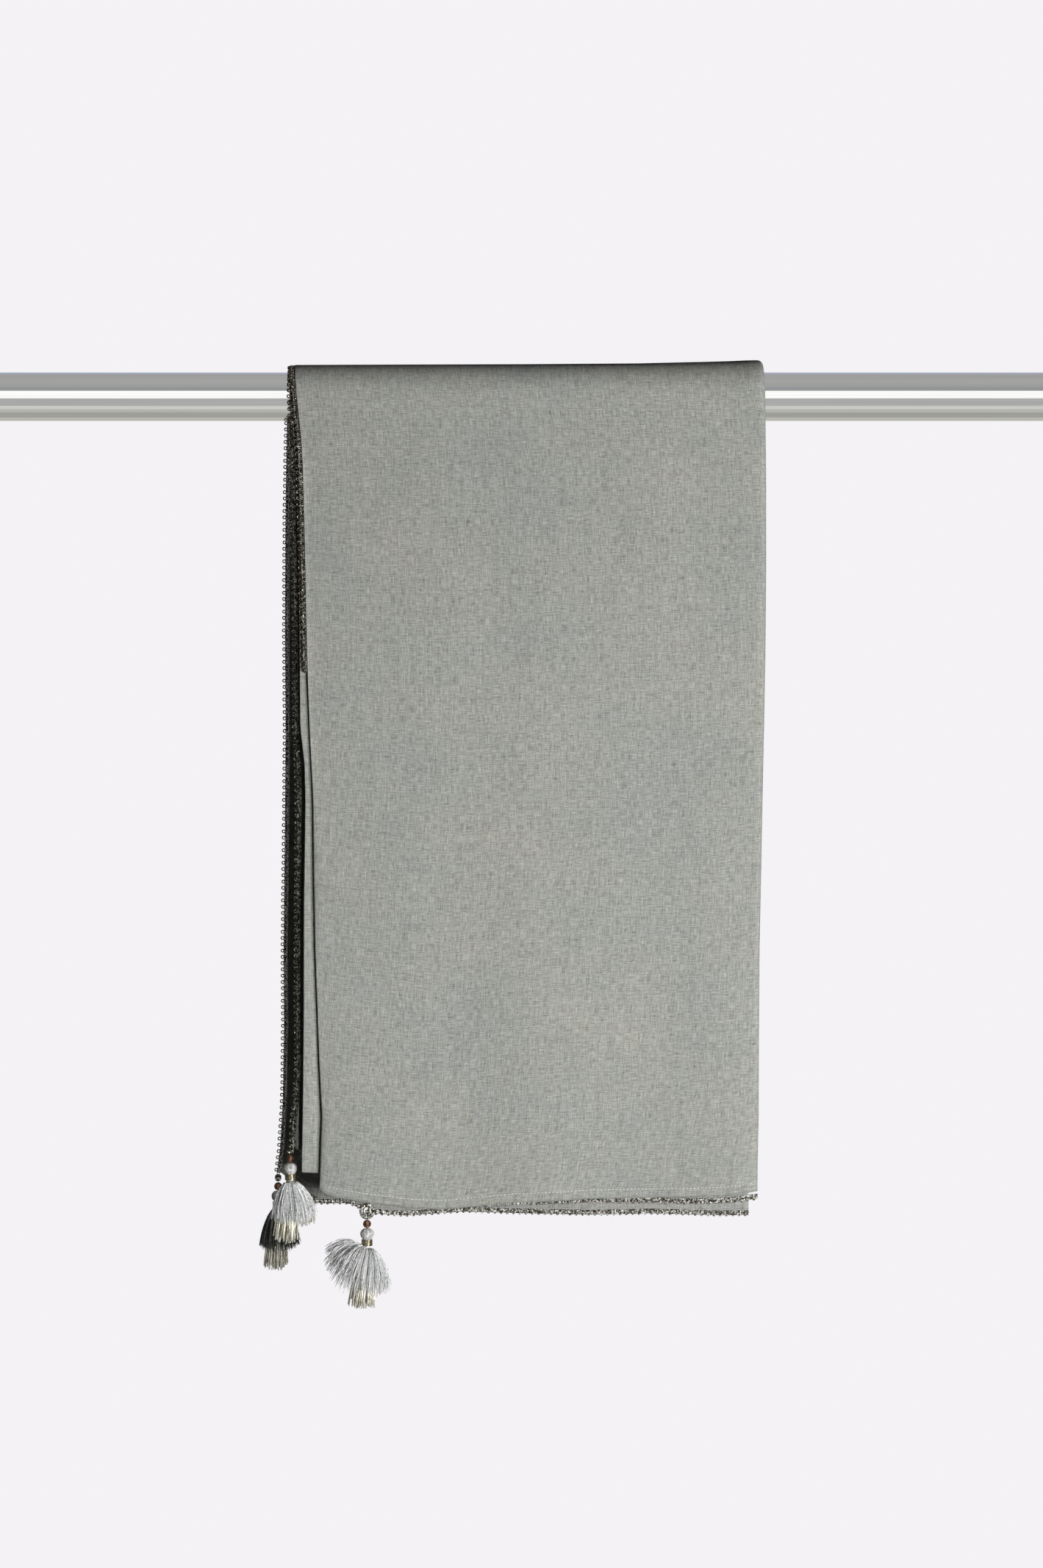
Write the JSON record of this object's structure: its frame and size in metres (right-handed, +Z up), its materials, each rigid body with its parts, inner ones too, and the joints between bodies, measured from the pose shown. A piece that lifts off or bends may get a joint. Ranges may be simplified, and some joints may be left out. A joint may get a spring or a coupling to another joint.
{
  "type": "dupatta stole on a plain tube rail",
  "caption": "Fine woven dupatta stole with lace edging and corner tassels, folded lengthwise and hung over a plain polished tube rail.",
  "frame": {"origin": "on the rail's axis, half way along the rail, where the rail holds the stole", "axes": "+X along the rail, +Z up, -Y is the stole's front"},
  "size_m": [0.6, 0.0683, 0.4856],
  "materials": {
    "sage_weave": "fine slubbed plain weave, sage grey, matt",
    "silver_lace": "looped antique silver metallic thread",
    "bronze_bead": "dark bronze, faceted, polished",
    "grey_thread": "fine silver-grey thread with a silky sheen",
    "gilt_collar": "pale gold metallic binding",
    "gilt_thread": "pale gold metallic thread",
    "polished_rail": "mirror-polished bright metal"
  },
  "bodies": {
    "root": {"bead_back_hem": "bronze_bead", "bead_back_left": "bronze_bead", "bead_front_hem": "bronze_bead", "bead_front_left": "bronze_bead", "collar_back_hem": "gilt_collar", "collar_back_left": "gilt_collar", "collar_front_hem": "gilt_collar", "collar_front_left": "gilt_collar", "inner_back_lace": "silver_lace", "inner_front_lace": "silver_lace", "inner_ply": "sage_weave", "inner_side_lace": "silver_lace", "loop_back_hem": "silver_lace", "loop_back_left": "silver_lace", "loop_front_hem": "silver_lace", "loop_front_left": "silver_lace", "margin_lace": "silver_lace", "middle_plies": "sage_weave", "outer_back_lace": "silver_lace", "outer_ply": "sage_weave", "outer_side_lace": "silver_lace", "panel_hem_lace": "silver_lace", "panel_turned_lace": "silver_lace", "rail_cap_left": "polished_rail", "rail_cap_right": "polished_rail", "rail_tube": "polished_rail", "tassel_back_hem": "grey_thread", "tassel_back_left": "grey_thread", "tassel_front_hem": "grey_thread", "tassel_front_left": "grey_thread", "turned_margin": "sage_weave", "underskirt_back_hem": "gilt_thread", "underskirt_back_left": "gilt_thread", "underskirt_front_hem": "gilt_thread", "underskirt_front_left": "gilt_thread"}
  },
  "joints": []
}
